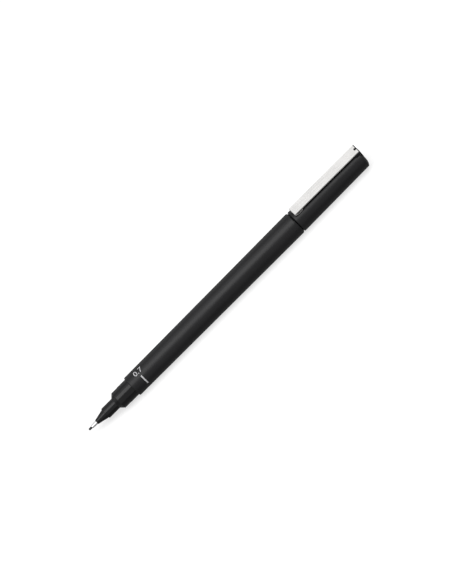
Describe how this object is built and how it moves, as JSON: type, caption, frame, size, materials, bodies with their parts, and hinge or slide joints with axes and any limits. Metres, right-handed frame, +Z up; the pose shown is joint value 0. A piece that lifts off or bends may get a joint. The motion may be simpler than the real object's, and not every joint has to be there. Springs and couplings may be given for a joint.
{
  "type": "technical pen",
  "caption": "Slim fibre-point technical drawing pen with a tapered barrel, stepped front section, metal tip sleeve and a posted cap with a steel pocket clip.",
  "frame": {"origin": "bottom centre of the whole pen's box, on the surface that the barrel lies on", "axes": "+X along the pen from the nib to the closed end of the cap, +Z up through the pocket clip, Y across the pen"},
  "size_m": [0.1462, 0.0098, 0.0114],
  "materials": {
    "matte_black": "satin black, fine moulded texture",
    "gloss_black": "polished black",
    "bright_steel": "drawn bright stainless",
    "satin_steel": "satin plated spring steel",
    "nib_fibre": "ink-soaked fibre rod",
    "ink_fibre": "ink-soaked polyester fibre",
    "wrap_film": "clear wrap film",
    "liner_plastic": "natural soft polyethylene"
  },
  "bodies": {
    "pen_body": {"barrel": "matte_black", "tail_plug": "matte_black", "front_section": "gloss_black", "nib_holder": "gloss_black", "tip_sleeve": "bright_steel", "nib": "nib_fibre", "feed_wick": "ink_fibre", "ink_reservoir": "ink_fibre", "reservoir_film": "wrap_film"},
    "cap_carrier": {"cap_liner": "liner_plastic"},
    "cap": {"cap_shell": "matte_black", "cap_crown": "matte_black"},
    "clip": {"clip": "satin_steel"}
  },
  "joints": [
    {"name": "cap_slide", "type": "slide", "parent": "pen_body", "child": "cap_carrier", "axis": [1, 0, 0], "range_m": [0, 0.00874]},
    {"name": "cap_turn", "type": "hinge", "parent": "cap_carrier", "child": "cap", "pos_m": [0.055, 0, 0.00488], "axis": [1, 0, 0], "continuous": true},
    {"name": "clip_flex", "type": "hinge", "parent": "cap", "child": "clip", "pos_m": [0.07271, 0, 0.01066], "axis": [0, 1, 0], "range_deg": [0, 2.5], "stiffness_Nm_per_rad": 0.12}
  ]
}
